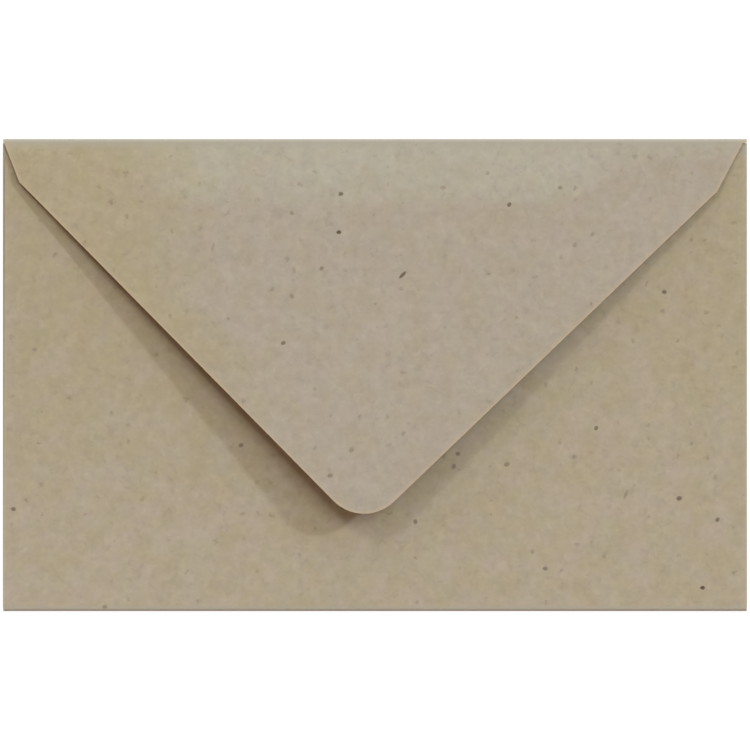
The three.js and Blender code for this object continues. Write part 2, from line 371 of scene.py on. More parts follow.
class EnvelopeColours(PropertyGroup):
    """Colours of the paper, the gum and the glue; some of the paper's colours hold painted light or shade.
    """

    kraft: colour_property("Kraft", "Middle colour of the paper", linear(172, 159, 138))
    cool: colour_property("Cool Pulp", "Where the pulp is paler and cooler", linear(174, 161, 145))
    straw: colour_property("Straw", "Where the pulp is darker and yellower", linear(171, 158, 134))
    # Painted shade: the flap's paper darkened a little, to offset the extra light that its tilt catches
    flap_painted_shade: colour_property("Flap End", "Tint of the flap's end of the blank", linear(168, 155, 136))
    flap_side: colour_property("Flap Side", "Tint of the flap's left edge", linear(168, 153, 123))
    fold_end: colour_property("Fold End", "Tint beside the bottom fold", linear(173, 159, 135))
    back_end: colour_property("Back End", "Tint of the back panel's mouth", linear(169, 155, 127))
    # Crushed paper in the folds, and painted light: cooler and greyer, making up for the dimmer, warmer
    # light on the rolls
    crushed_and_lit: colour_property("Creased", "Paper that is crushed in a fold", linear(170, 161, 145))
    # Painted highlight: the lighter, cooler colour of the band above the throat
    pressed: colour_property("Pressed", "Paper pressed smooth above the throat", linear(178, 170, 148))
    # Pale raw fibres of a cut edge, and a painted highlight along it
    raw_edge_and_highlight: colour_property("Raw Edge", "Torn fibres of a cut edge", linear(193, 170, 139))
    shive: colour_property("Shive", "The darkest splinter in the pulp", linear(70, 50, 30))
    gum: colour_property("Gum", "Dried gum over the paper", linear(182, 163, 122))
    glue: colour_property("Glue", "Dried glue in the side seams", linear(226, 216, 188))


def light_property(name, description, default):
    return FloatVectorProperty(name=name, description=description, default=default, size=3)


class EnvelopeLight(PropertyGroup):
    """How the stage is lit, each as red, green and blue. The shares add up to 1 on a level sheet."""

    key: light_property("Key Light", "Share of the low lamp on the right", (0.155, 0.175, 0.20))
    overhead: light_property("Overhead Light", "Share of the wide lamp above", (0.18, 0.20, 0.205))
    fill: light_property("Fill Light", "Share of the lamp beyond the flap crease", (0.105, 0.11, 0.105))
    sky: light_property("Sky", "Share that comes from all round", (0.05, 0.03, 0.02))
    sky_right: light_property("Sky Right", "Share of the sky on the right", (0.12, 0.125, 0.125))
    sky_left: light_property("Sky Left", "Share of the sky on the left", (0.075, 0.04, 0.01))
    sky_beyond: light_property("Sky Beyond", "Share of the sky beyond the crease", (0.255, 0.29, 0.315))
    sky_near: light_property("Sky Near", "Share of the sky below the bottom fold", (0.06, 0.03, 0.02))


class Wire:
    """One output of a node tree. Python's operators on it add the nodes that do the maths."""

    def __init__(self, board, socket):
        self.board = board
        self.socket = socket

    def __add__(self, other):
        return self.board.maths("ADD", self, other)

    def __radd__(self, other):
        return self.board.maths("ADD", other, self)

    def __sub__(self, other):
        return self.board.maths("SUBTRACT", self, other)

    def __rsub__(self, other):
        return self.board.maths("SUBTRACT", other, self)

    def __mul__(self, other):
        return self.board.maths("MULTIPLY", self, other)

    def __rmul__(self, other):
        return self.board.maths("MULTIPLY", other, self)

    def __truediv__(self, other):
        return self.board.maths("DIVIDE", self, other)

    def __rtruediv__(self, other):
        return self.board.maths("DIVIDE", other, self)

    def __gt__(self, other):
        return self.board.maths("GREATER_THAN", self, other)

    def __lt__(self, other):
        return self.board.maths("LESS_THAN", self, other)

    def __abs__(self):
        return self.board.maths("ABSOLUTE", self)


class Board:
    """A node tree that is wired up by expressions."""

    def __init__(self, tree):
        self.tree = tree

    def find(self, sockets, key):
        """The socket with this number, identifier or name."""
        if isinstance(key, int):
            return sockets[key]
        for socket in sockets:
            if socket.enabled and key in (socket.identifier, socket.name):
                return socket
        raise KeyError(f"no socket {key} among {[s.identifier for s in sockets]}")

    def node(self, kind, settings=None, inputs=None, out=0):
        """Adds a node, sets it up, feeds it and returns the output named by out."""
        made = self.tree.nodes.new(kind)
        for name, value in (settings or {}).items():
            setattr(made, name, value)
        for key, value in (inputs or {}).items():
            socket = self.find(made.inputs, key)
            if isinstance(value, Wire):
                self.tree.links.new(value.socket, socket)
            else:
                socket.default_value = value
        return Wire(self, self.find(made.outputs, out)) if made.outputs else made

    def other(self, wire, out):
        """Another output of the node that a wire comes from."""
        return Wire(self, self.find(wire.socket.node.outputs, out))

    def maths(self, operation, *values):
        """Does an operation, on vectors where any of the values is one."""
        vectors = [
            isinstance(v, (tuple, Vector)) or isinstance(v, Wire) and v.socket.type == "VECTOR"
            for v in values
        ]
        if not any(vectors):
            return self.node("ShaderNodeMath", {"operation": operation}, dict(enumerate(values)))
        if operation == "MULTIPLY" and not all(vectors):
            vector, scale = values if vectors[0] else reversed(values)
            return self.node(
                "ShaderNodeVectorMath", {"operation": "SCALE"}, {"Vector": vector, "Scale": scale}
            )
        out = "Value" if operation == "DOT_PRODUCT" else "Vector"
        settings = {"operation": operation}
        return self.node("ShaderNodeVectorMath", settings, dict(enumerate(values)), out)

    def blend(self, factor, first, second, how="MIX"):
        """Mixes two colours."""
        first, second = (v if isinstance(v, Wire) else (*v, 1) for v in (first, second))
        settings = {"data_type": "RGBA", "blend_type": how}
        inputs = {"Factor_Float": factor, "A_Color": first, "B_Color": second}
        return self.node("ShaderNodeMix", settings, inputs, "Result_Color")

    def between(self, factor, low, high):
        """Low where the factor is 0 and high where it is 1."""
        return low + (high - low) * factor

    def smooth(self, value, low, high):
        """0 below low, 1 above high and a smooth step between them. It falls where high is below low."""
        settings = {"interpolation_type": "SMOOTHSTEP"}
        bottom, top = sorted((low, high))
        ends = (0.0, 1.0) if low < high else (1.0, 0.0)
        inputs = {
            "Value": value,
            "From Min": bottom,
            "From Max": top,
            "To Min": ends[0],
            "To Max": ends[1],
        }
        return self.node("ShaderNodeMapRange", settings, inputs, "Result")

    def noise(self, place, size, detail=2.0, roughness=0.5, distortion=0.0):
        """Noise round 0.5 whose swells are about size apart, in the unit that place is in."""
        inputs = {
            "Vector": place,
            "Scale": 1 / size,
            "Detail": detail,
            "Roughness": roughness,
            "Distortion": distortion,
        }
        return self.node("ShaderNodeTexNoise", {"noise_dimensions": "3D"}, inputs, "Fac")

    def stray(self, place, size, detail=2.0):
        """Noise as a vector round 0."""
        colour = self.other(self.noise(place, size, detail), "Color")
        return self.maths("SUBTRACT", colour, (0.5, 0.5, 0.5))

    def vector(self, x=0.0, y=0.0, z=0.0):
        """A vector of three numbers, each of them a wire or plain."""
        return self.node("ShaderNodeCombineXYZ", inputs={"X": x, "Y": y, "Z": z})

    def part(self, vector, axis):
        """A vector's X, Y or Z."""
        return self.node("ShaderNodeSeparateXYZ", inputs={"Vector": vector}, out=axis)

    def named(self, name):
        """A number that a mesh or its points hold under this name, in a geometry tree."""
        settings = {"data_type": "FLOAT"}
        return self.node("GeometryNodeInputNamedAttribute", settings, {"Name": name})

    def store(self, geometry, name, value, domain):
        """Geometry that holds a number under this name, for each point or instance."""
        settings = {"data_type": "FLOAT", "domain": domain}
        inputs = {"Geometry": geometry, "Name": name, "Value": value}
        return self.node("GeometryNodeStoreNamedAttribute", settings, inputs)


def geometry_board(name, inputs):
    """A new geometry node tree with a sheet in and out and the inputs named, as a board and their wires."""
    tree = bpy.data.node_groups.new(name, "GeometryNodeTree")
    tree.interface.new_socket("Sheet", in_out="INPUT", socket_type="NodeSocketGeometry")
    tree.interface.new_socket("Sheet", in_out="OUTPUT", socket_type="NodeSocketGeometry")
    for label, kind, default in inputs:
        socket = tree.interface.new_socket(label, in_out="INPUT", socket_type=f"NodeSocket{kind}")
        if default is not None:
            socket.default_value = default
    board = Board(tree)
    first = board.node("NodeGroupInput", out="Sheet")
    return board, first, {label: board.other(first, label) for label, kind, default in inputs}


def finish_tree(board, geometry, material):
    """Ends a tree in real faces that wear the material."""
    real = board.node("GeometryNodeRealizeInstances", inputs={"Geometry": geometry})
    worn = board.node("GeometryNodeSetMaterial", inputs={"Geometry": real, "Material": material})
    board.node("NodeGroupOutput", inputs={"Sheet": worn})
    return board.tree


def ripple_tree():
    """Lets the loose paper swell a little into or out of its plane, by noise on the flat blank."""
    board, sheet, given = geometry_board(
        "ripple",
        (
            ("Height", "Float", 0.0),
            ("Length", "Float", 30 * MM),
            ("Seed", "Float", 0.0),
            ("Material", "Material", None),
        ),
    )
    place = board.node("GeometryNodeInputPosition")
    flat = place * (1.0, 1.0, 0.0)
    swell = board.noise(flat + board.vector(z=given["Seed"]), given["Length"], detail=1.0)
    depth = board.smooth(swell, *RIPPLE_RANGE) * board.named("loose") * given["Height"]
    inputs = {"Geometry": sheet, "Offset": board.vector(z=depth)}
    moved = board.node("GeometryNodeSetPosition", inputs=inputs)
    return finish_tree(board, moved, given["Material"])


def fold_tree():
    """Rolls what lies past a crease round the crease's roll, and carries on flat beyond it."""
    board, sheet, given = geometry_board(
        "fold",
        (
            ("Outward", "Vector", (0.0, 1.0, 0.0)),
            ("Crease", "Float", 0.0),
            ("Roll Radius", "Float", 1 * MM),
            ("Turn", "Float", math.pi),
            ("Paper", "Float", PAPER),
            ("Material", "Material", None),
        ),
    )
    outward = given["Outward"]
    roll = given["Roll Radius"]
    turn = given["Turn"]
    place = board.node("GeometryNodeInputPosition")
    across = board.maths("DOT_PRODUCT", place, outward)
    depth = board.part(place, "Z")
    past = across - given["Crease"]
    middle = roll - 0.5 * given["Paper"]
    angle = board.maths("MINIMUM", board.maths("MAXIMUM", past / middle, 0.0), turn)
    before = board.maths("MINIMUM", past, 0.0)
    beyond = board.maths("MAXIMUM", past - middle * turn, 0.0)
    sine = board.maths("SINE", angle)
    cosine = board.maths("COSINE", angle)
    radius = roll - depth
    out = given["Crease"] + before + radius * sine + beyond * cosine
    height = roll - radius * cosine + beyond * sine
    offset = outward * (out - across) + board.vector(z=height - depth)
    moved = board.node("GeometryNodeSetPosition", inputs={"Geometry": sheet, "Offset": offset})
    return finish_tree(board, moved, given["Material"])


SHIVE_INPUTS = (
    ("Thickness", "Float", 0.03 * MM),
    ("Seed", "Int", 0),
    ("Material", "Material", None),
)


def shive_shape(board):
    """A splinter a unit long and wide: a low, closed lens of few faces, thickest where its core is 1."""
    lens = board.node("GeometryNodeMeshUVSphere", inputs={"Segments": 9, "Rings": 4, "Radius": 0.5})
    rise = abs(board.part(board.node("GeometryNodeInputPosition"), "Z"))
    return board.store(lens, "core", board.smooth(rise, 0.0, CORE_RISE), "POINT")


def laid_shives(board, points, square_on, turn, length, width, given):
    """A shive on each point, square on the paper, turned in its plane and scaled to its size."""
    inputs = {"Rotation": square_on, "Rotate By": board.vector(z=turn)}
    turned = board.node("FunctionNodeRotateRotation", {"rotation_space": "LOCAL"}, inputs)
    size = board.vector(length, width, given["Thickness"])
    inputs = {"Points": points, "Instance": shive_shape(board), "Rotation": turned, "Scale": size}
    return board.node("GeometryNodeInstanceOnPoints", inputs=inputs)


def scattered_shives_tree():
    """Scatters small shives over both faces of a sheet and keeps only the shives."""
    board, sheet, given = geometry_board(
        "scattered_shives",
        (
            ("Density", "Float", 4000.0),
            ("Shortest", "Float", 0.25 * MM),
            ("Longest", "Float", 0.7 * MM),
            ("Slimmest", "Float", 0.3),
            ("Stoutest", "Float", 0.9),
            ("Widest", "Float", 0.45 * MM),
            ("Palest", "Float", 0.1),
            ("Darkest", "Float", 0.6),
            *SHIVE_INPUTS,
        ),
    )
    seed = given["Seed"]
    uncreased = board.named("crease") < UNCREASED
    points = board.node(
        "GeometryNodeDistributePointsOnFaces",
        {"distribute_method": "RANDOM"},
        {"Mesh": sheet, "Density": given["Density"] * uncreased, "Seed": seed},
        "Points",
    )

    def random(low, high, offset):
        inputs = {2: low, 3: high, "Seed": seed + offset}
        return board.node("FunctionNodeRandomValue", {"data_type": "FLOAT"}, inputs, 1)

    pick = random(0.0, 1.0, offset=1.0)
    length = given["Shortest"] + (given["Longest"] - given["Shortest"]) * pick * pick
    width = length * random(given["Slimmest"], given["Stoutest"], offset=2.0)
    width = board.maths("MINIMUM", width, given["Widest"])
    turn = random(0.0, math.tau, offset=3.0)
    shade = random(given["Palest"], 1.0, offset=4.0) * given["Darkest"]
    square_on = board.other(points, "Rotation")
    placed = laid_shives(board, points, square_on, turn, length, width, given)
    return finish_tree(board, board.store(placed, "shade", shade, "INSTANCE"), given["Material"])


def placed_shives_tree():
    """Drops a shive on the sheet under each point, with the point's own length, width, turn and shade."""
    board, points, given = geometry_board(
        "placed_shives",
        (
            ("Paper Below", "Object", None),
            ("Tatter", "Vector", (0.3 * MM, 0.3 * MM, 0.0)),
            ("Tatter Size", "Float", 0.4 * MM),
            *SHIVE_INPUTS,
        ),
    )
    inputs = {"Object": given["Paper Below"]}
    below = board.node("GeometryNodeObjectInfo", inputs=inputs, out="Geometry")
    inputs = {"Target Geometry": below, "Ray Direction": (0.0, 0.0, -1.0), "Ray Length": DROP_HEIGHT}
    hit = board.node("GeometryNodeRaycast", {"data_type": "FLOAT"}, inputs, "Hit Position")
    inputs = {"Vector": board.other(hit, "Hit Normal")}
    square_on = board.node("FunctionNodeAlignRotationToVector", {"axis": "Z"}, inputs)
    turn, length, width = (board.named(name) for name in ("turn", "length", "width"))
    placed = laid_shives(board, points, square_on, turn, length, width, given)
    lowered = board.node("GeometryNodeSetPosition", inputs={"Geometry": placed, "Position": hit})
    real = board.node("GeometryNodeRealizeInstances", inputs={"Geometry": lowered})
    place = board.node("GeometryNodeInputPosition") + board.vector(z=given["Seed"])
    shift = board.stray(place, given["Tatter Size"]) * given["Tatter"]
    tattered = board.node("GeometryNodeSetPosition", inputs={"Geometry": real, "Offset": shift})
    return finish_tree(board, tattered, given["Material"])


def add_tree(piece, tree, values):
    """Puts a geometry tree on a piece, with its inputs set by the sockets' identifiers."""
    modifier = piece.modifiers.new(tree.name, "NODES")
    modifier.node_group = tree
    for item in tree.interface.items_tree:
        if item.item_type == "SOCKET" and item.in_out == "INPUT" and item.name in values:
            modifier[item.identifier] = values[item.name]


def made_plain(piece):
    """Turns a piece's evaluated shape into its plain mesh and takes its modifiers off."""
    bpy.context.view_layer.update()
    seen = piece.evaluated_get(bpy.context.evaluated_depsgraph_get())
    mesh = bpy.data.meshes.new_from_object(seen)
    mesh.name = piece.name
    worn = mesh.materials[-1]
    mesh.materials.clear()
    mesh.materials.append(worn)
    piece.modifiers.clear()
    piece.data = mesh
    return piece


def tree_named(name, make):
    """The geometry tree of that name, made the first time it is asked for."""
    return bpy.data.node_groups.get(name) or make()


def linked(name, data):
    """A new object in the scene, with this mesh, lamp or camera."""
    made = bpy.data.objects.new(name, data)
    bpy.context.scene.collection.objects.link(made)
    return made


def rounded(corners):
    """A chain of points through (x, y, radius) corners, with an arc at each corner that has a radius."""
    chain = []
    for i, (x, y, radius) in enumerate(corners):
        if not radius:
            chain.append((x, y))
            continue
        point = np.array((x, y))
        back = np.array(corners[i - 1][:2]) - point
        forth = np.array(corners[i + 1][:2]) - point
        back = back / np.linalg.norm(back)
        forth = forth / np.linalg.norm(forth)
        half = math.acos(np.clip(back @ forth, -1, 1)) / 2
        centre = point + (back + forth) / np.linalg.norm(back + forth) * radius / math.sin(half)
        start, end = (point + way * radius / math.tan(half) - centre for way in (back, forth))
        sweep = math.copysign(math.pi - 2 * half, start[0] * end[1] - start[1] * end[0])
        for step in range(ARC_STEPS + 1):
            a = sweep * step / ARC_STEPS
            turn = np.array(((math.cos(a), -math.sin(a)), (math.sin(a), math.cos(a))))
            chain.append(tuple(centre + turn @ start))
    return np.array(chain)


def stations(*chains):
    """Sorted places along a sheet: each place where an outline bends, and enough between them."""
    kept = [min(chains[0])]
    for place in np.unique(np.concatenate(chains)):
        last = kept[-1]
        if place - last > CLOSEST:
            steps = math.ceil((place - last) / GRID_STEP)
            kept.extend(np.linspace(last, place, steps + 1)[1:])
    return np.array(kept)


def both_sides(right):
    """Places from the middle to the right, mirrored so that they run from the left."""
    return np.concatenate((-right[::-1], right[1:]))


def crossing(low, high, cells):
    """Places across a sheet from low to high, closer together beside both cut edges."""
    width = high - low
    near = np.minimum(EDGE_LINES, width * EDGE_SHARE * np.arange(1, len(EDGE_LINES) + 1))
    middle = np.linspace(near[-1], width - near[-1], cells + 1)
    return low + np.concatenate(([0.0], near[:-1], middle, width - near[-2::-1], [width]))


def distance_to(points, chain):
    """How far each flat point is from a chain of straight stretches."""
    nearest = np.full(len(points), np.inf)
    for a, b in zip(chain[:-1], chain[1:]):
        run = b - a
        along = np.clip(((points - a) @ run) / max(run @ run, TINY), 0, 1)
        nearest = np.minimum(nearest, np.linalg.norm(points - a - along[:, None] * run, axis=1))
    return nearest


def eased(value, low, high):
    """Smooth step of an array from 0 at low to 1 at high."""
    t = np.clip((value - low) / (high - low), 0, 1)
    return t * t * (3 - 2 * t)


def nowhere(points):
    """0 at each point."""
    return np.zeros(len(points))


def flat_sheet(name, grid, cut_edges, crease_lines, loose, pressed=nowhere, depths=(0.0, PAPER)):
    """A closed flat sheet over a grid of points on the blank.

    The mesh's own map, blank, holds the places on the blank. Its attributes hold how near a point is to a
    cut edge, how near it is to a crease, how loose the paper is there and how strong the painted highlight
    above the throat is there.
    """
    rows, columns = grid.shape[:2]
    points = grid.reshape(-1, 2)
    count = len(points)
    first, second = grid[1, 0] - grid[0, 0], grid[0, 1] - grid[0, 0]
    ahead = first[0] * second[1] - first[1] * second[0] > 0
    index = np.arange(count).reshape(rows, columns)
    corners = (index[:-1, :-1], index[1:, :-1], index[1:, 1:], index[:-1, 1:])
    inner = np.stack([c.ravel() for c in (corners if ahead else corners[::-1])], axis=1)
    outer = inner[:, ::-1]
    rim = np.concatenate((index[:, 0], index[-1, 1:], index[-2::-1, -1], index[0, -2:0:-1]))
    rim = rim if ahead else rim[::-1]
    after = np.roll(rim, -1)
    wall = np.stack((rim, after, after + count, rim + count), axis=1)
    faces = np.concatenate((outer, inner + count, wall))
    flat = np.concatenate([np.column_stack((points, np.full(count, depth))) for depth in depths])
    mesh = bpy.data.meshes.new(name)
    mesh.from_pydata(flat.tolist(), [], faces.tolist())
    blank = mesh.uv_layers.new(name="blank")
    places = flat[faces.ravel(), :2].copy()
    places[outer.size : outer.size + inner.size, 0] += INNER_SHIFT
    blank.uv.foreach_set("vector", places.astype(np.float32).ravel())
    near_edge = np.min([distance_to(points, chain) for chain in cut_edges], axis=0)
    crease = np.zeros(count)
    for axis, low, high in crease_lines:
        across = points[:, axis]
        away = np.maximum(low - across, across - high)
        crease = np.maximum(crease, 1 - eased(away, 0, CREASE_WIDTH))
    values = {
        "edge": 1 - eased(near_edge, 0, EDGE_WIDTH),
        "crease": crease,
        "loose": loose(points),
        "pressed": pressed(points),
    }
    for label, value in values.items():
        attribute = mesh.attributes.new(label, "FLOAT", "POINT")
        attribute.data.foreach_set("value", np.tile(value, 2).astype(np.float32))
    mesh.shade_smooth()
    mesh.set_sharp_from_angle(angle=SHARP)
    return linked(name, mesh)


def rippled(piece, height, seed, material):
    """Adds the ripple to a flat piece. Positive heights swell towards the pocket."""
    sizes = bpy.context.scene.envelope_sizes
    values = {
        "Height": height,
        "Length": sizes.ripple_length,
        "Seed": float(sizes.seed + seed),
        "Material": material,
    }
    add_tree(piece, tree_named("ripple", ripple_tree), values)


def folded(piece, outward, crease, roll, turn, material):
    """Adds a fold to a flat piece."""
    values = {
        "Outward": outward,
        "Crease": crease,
        "Roll Radius": roll,
        "Turn": turn,
        "Paper": PAPER,
        "Material": material,
    }
    add_tree(piece, tree_named("fold", fold_tree), values)


def over_flap_crease(piece, material):
    """Adds the flap's ripple and its fold to a flat piece."""
    rippled(piece, -bpy.context.scene.envelope_sizes.ripple, FLAP_SEED, material)
    folded(piece, (0.0, 1.0, 0.0), CREASE_Y, CREASE_ROLL, FLAP_TURN, material)


def roll_length(roll, turn=math.pi):
    """Length of the paper's middle round a roll."""
    return (roll - PAPER / 2) * turn


def front_blank(sizes):
    """The front panel with a side flap on both sides, gridded along X."""
    arc = roll_length(SIDE_ROLL)
    tip_x = SIDE_X + arc + SIDE_X - SIDE_FLAP_LOW.x
    fold_end = SIDE_X + arc

    def half(panel_y, flap_y, taper):
        corners = (
            (0.0, panel_y, 0),
            (SIDE_X, panel_y, 0),
            (SIDE_X + FOLD_STEP, flap_y, 0),
            (fold_end, flap_y, 0),
            (tip_x, flap_y - taper, sizes.side_corner),
            (tip_x, 0.0, 0),
        )
        return rounded(corners)[:-1]

    top = half(CREASE_Y, SIDE_FLAP_HIGH.y, sizes.side_taper)
    bottom = half(BOTTOM_Y, SIDE_FLAP_LOW.y, -sizes.side_taper)
    rolls = np.linspace(SIDE_X, fold_end, ROLL_STEPS + 1)
    near = tip_x - np.array(EDGE_LINES)
    right = stations(top[:, 0], bottom[:, 0], rolls, near)
    along = both_sides(right)
    rows = []
    cells = round((CREASE_Y - BOTTOM_Y) / GRID_STEP)
    for x in along:
        low = np.interp(abs(x), bottom[:, 0], bottom[:, 1])
        high = np.interp(abs(x), top[:, 0], top[:, 1])
        across = crossing(low, high, cells)
        rows.append(np.column_stack((np.full(len(across), x), across)))
    outline = [top, bottom, np.array((top[-1], bottom[-1]))]
    mirrored = [chain * (-1, 1) for chain in outline]
    side_creases = (0, SIDE_X, fold_end), (0, -fold_end, -SIDE_X)
    end_creases = (1, CREASE_Y, CREASE_Y), (1, BOTTOM_Y, BOTTOM_Y)
    return np.array(rows), outline + mirrored, side_creases + end_creases


def mouth_chain(sizes):
    """Right half of the back panel's upper edge, from the middle out, as (x, y) on the folded envelope."""
    mouth = BACK_HIGH.y
    throat = TOP_Y - sizes.throat_depth
    corners = (
        (0.0, throat, 0),
        (sizes.throat_half, throat, sizes.throat_bend),
        (sizes.throat_half + sizes.throat_slope, mouth, sizes.throat_bend),
        (ROOT_HALF - sizes.back_taper, mouth, sizes.back_corner),
        (ROOT_HALF, BOTTOM_Y, 0),
    )
    return rounded(corners)[:-1]


def back_blank(sizes):
    """The bottom fold and the back panel, gridded along X. They hang below the front panel on the blank."""
    arc = roll_length(BOTTOM_ROLL)
    chain = mouth_chain(sizes)
    edge = chain[-1, 0]
    right = stations(chain[:, 0], edge - np.array(EDGE_LINES))
    along = both_sides(right)
    full = BACK_HIGH.y - BOTTOM_Y
    # The side edges run straight down the roll and then lean in to the mouth
    edge_past = (0, arc, arc + full)
    edge_half = (ROOT_HALF, ROOT_HALF, ROOT_HALF - sizes.back_taper)
    rows = []
    cells = round(full / GRID_STEP)
    for x in along:
        reach = np.interp(abs(x), chain[:, 0], chain[:, 1]) - BOTTOM_Y
        roll = np.linspace(0, arc, ROLL_STEPS + 1)[:-1]
        past = np.concatenate((roll, arc + crossing(0, reach, cells)))
        halves = np.interp(past, edge_past, edge_half)
        rows.append(np.column_stack((x * halves / halves[-1], BOTTOM_Y - past)))
    grid = np.array(rows)
    edges = [grid[:, -1], grid[0], grid[-1]]
    return grid, edges, ((1, BOTTOM_Y - arc, BOTTOM_Y),)


class FlapShape:
    """The seal flap's outline, as places to the right of the middle and distances past the crease's roll."""

    def __init__(self, sizes):
        self.sizes = sizes
        side = FRONT_HIGH.x + SIDE_ROLL
        self.shoulder = np.array((side - sizes.shoulder_inset, sizes.shoulder_depth))
        to_tip = np.array((self.shoulder[0], sizes.flap_depth - sizes.tip_radius - self.shoulder[1]))
        reach = np.linalg.norm(to_tip)
        self.half_angle = math.atan2(*to_tip) - math.asin(sizes.tip_radius / reach)
        over = sizes.tip_radius * (1 / math.sin(self.half_angle) - 1)
        self.point_depth = sizes.flap_depth + over

    def skewed(self, x, depth, radius=0.0):
        """A corner of the square flap, turned and shifted as it was folded."""
        turn = self.sizes.flap_skew
        across = x * math.cos(turn) - depth * math.sin(turn) + self.sizes.flap_shift
        down = depth * math.cos(turn) + x * math.sin(turn)
        return across, down - CREASE_ROLL, radius

    def outline(self):
        """Left and right edges from the crease to the lowest point of the tip."""
        x, depth = self.shoulder
        lip = self.sizes.crease_lip
        chain = rounded(
            (
                (-ROOT_HALF, 0.0, 0),
                (FLAP_LOW.x, lip, 0),
                self.skewed(-x, depth),
                self.skewed(0, self.point_depth, self.sizes.tip_radius),
                self.skewed(x, depth),
                (FLAP_HIGH.x, lip, 0),
                (ROOT_HALF, 0.0, 0),
            )
        )
        lowest = int(np.argmax(chain[:, 1]))
        return chain[: lowest + 1], chain[: lowest - 1 : -1]


def flap_blank(sizes):
    """The flap crease and the seal flap, gridded along Y. They lie above the front panel on the blank."""
    arc = roll_length(CREASE_ROLL, FLAP_TURN)
    left, right = FlapShape(sizes).outline()
    deepest = left[-1, 1]
    last = deepest - TIP_GAP
    near = deepest - np.array(EDGE_LINES)
    inside = [chain[chain[:, 1] < last, 1] for chain in (left, right)]
    past_roll = stations(*inside, near, np.array((last,)))
    rows = []
    cells = round(2 * ROOT_HALF / GRID_STEP)
    for y in np.concatenate((np.linspace(-arc, 0, ROLL_STEPS + 1)[:-1], past_roll)):
        low = np.interp(y, left[:, 1], left[:, 0])
        high = np.interp(y, right[:, 1], right[:, 0])
        across = crossing(low, high, cells)
        rows.append(np.column_stack((across, np.full(len(across), CREASE_Y + arc + y))))
    grid = np.array(rows)
    edges = [grid[:, 0], grid[:, -1], grid[-1]]
    return grid, edges, ((1, CREASE_Y, CREASE_Y + arc),)


def gum_grid(sizes):
    """The band of gum on the blank, from the left shoulder round the tip to the right shoulder."""
    shape = FlapShape(sizes)
    arc = roll_length(CREASE_ROLL, FLAP_TURN)
    slant = np.array((math.sin(shape.half_angle), -math.cos(shape.half_angle)))
    inward = np.array((slant[1], -slant[0]))
    end = shape.shoulder - slant * sizes.gum_end
    borders = []
    cases = (
        (sizes.gum_margin, sizes.tip_radius - sizes.gum_margin),
        (sizes.gum_margin + sizes.gum_width, sizes.gum_bend),
    )
    for offset, radius in cases:
        x, depth = end + inward * offset
        point = shape.point_depth - offset / math.sin(shape.half_angle)
        corners = (shape.skewed(-x, depth), shape.skewed(0, point, radius), shape.skewed(x, depth))
        chain = rounded(corners)
        straight = np.linspace(0, 1, GUM_ROWS)[:-1]
        first = chain[0] + straight[:, None] * (chain[1] - chain[0])
        last = chain[-1] + straight[::-1, None] * (chain[-2] - chain[-1])
        borders.append(np.concatenate((first, chain[1:-1], last)))
    row = np.arange(len(borders[0]))
    ends = eased(row, 0, GUM_END_ROWS) * eased(row[::-1], 0, GUM_END_ROWS)
    across = np.linspace(0, 1, GUM_COLUMNS)
    rows = []
    for outer, inner, full in zip(*borders, ends):
        middle = (outer + inner) / 2
        share = GUM_END_WIDTH + (1 - GUM_END_WIDTH) * full
        first, last = (middle + (border - middle) * share for border in (outer, inner))
        rows.append(first + across[:, None] * (last - first))
    grid = np.array(rows)
    grid[..., 1] += CREASE_Y + arc
    return grid


def flap_looseness(points):
    """The flap's paper is loose away from its crease."""
    past = points[:, 1] - CREASE_Y - roll_length(CREASE_ROLL)
    return eased(past, *FLAP_LOOSE)


def above_throat(points):
    """Strength of the painted highlight on the flap above the throat, where no back panel lies under it,
    most at the crease.
    """
    sizes = bpy.context.scene.envelope_sizes
    chain = mouth_chain(sizes)
    depth = points[:, 1] - CREASE_Y - roll_length(CREASE_ROLL) + CREASE_ROLL
    away = np.abs(points[:, 0])
    border = TOP_Y - np.interp(away, chain[:, 0], chain[:, 1]) + THROAT_OVERLAP
    fading = eased(away, sizes.throat_half - THROAT_FADE, sizes.throat_half + sizes.throat_slope)
    strength = (1 - THROAT_LOSS * np.clip(depth / border, 0, 1)) * (1 - THROAT_LOSS * fading)
    return strength * eased(border - depth, -THROAT_BLUR, THROAT_BLUR)


def back_looseness(points):
    """The back panel is loose between its glued sides and away from the bottom fold."""
    past = BOTTOM_Y - roll_length(BOTTOM_ROLL) - points[:, 1]
    hold = eased(np.abs(points[:, 0]) - SIDE_FLAP_LOW.x, *BACK_HELD)
    return eased(past, *BACK_LOOSE) * (1 - hold)


def shader(name):
    """A new material with an empty node tree, as its board and itself."""
    material = bpy.data.materials.new(name)
    material.use_nodes = True
    material.node_tree.nodes.clear()
    return Board(material.node_tree), material


def surface(board, colour, roughness, normal=None, **constants):
    """Ends a material in a Principled surface."""
    inputs = {"Base Color": colour, "Roughness": roughness, **constants}
    if normal is not None:
        inputs["Normal"] = normal
    made = board.node("ShaderNodeBsdfPrincipled", inputs=inputs, out="BSDF")
    board.node("ShaderNodeOutputMaterial", inputs={"Surface": made})


def attribute(board, name):
    """A number that the mesh holds under this name, in a material."""
    return board.node("ShaderNodeAttribute", {"attribute_name": name}, out="Fac")


def bumps(board, height, strength):
    """A normal that follows a height in millimetres."""
    inputs = {"Height": height, "Strength": strength, "Distance": MM}
    return board.node("ShaderNodeBump", inputs=inputs, out="Normal")


def blank_place(board):
    """Places on the blank, in millimetres."""
    return board.node("ShaderNodeUVMap", {"uv_map": "blank"}, out="UV") * (1 / MM)


def object_place(board):
    """Places in the frame, in millimetres."""
    return board.node("ShaderNodeTexCoord", out="Object") * (1 / MM)


def kraft_relief(board, place):
    """Height of the paper's surface, in millimetres, from its flocs down to its fibres."""
    flocs = board.noise(place, RELIEF_SIZE, detail=3.0)
    tooth = board.noise(place, TOOTH_SIZE, detail=3.0, roughness=0.6)
    return flocs * RELIEF_HEIGHT + tooth * TOOTH_HEIGHT


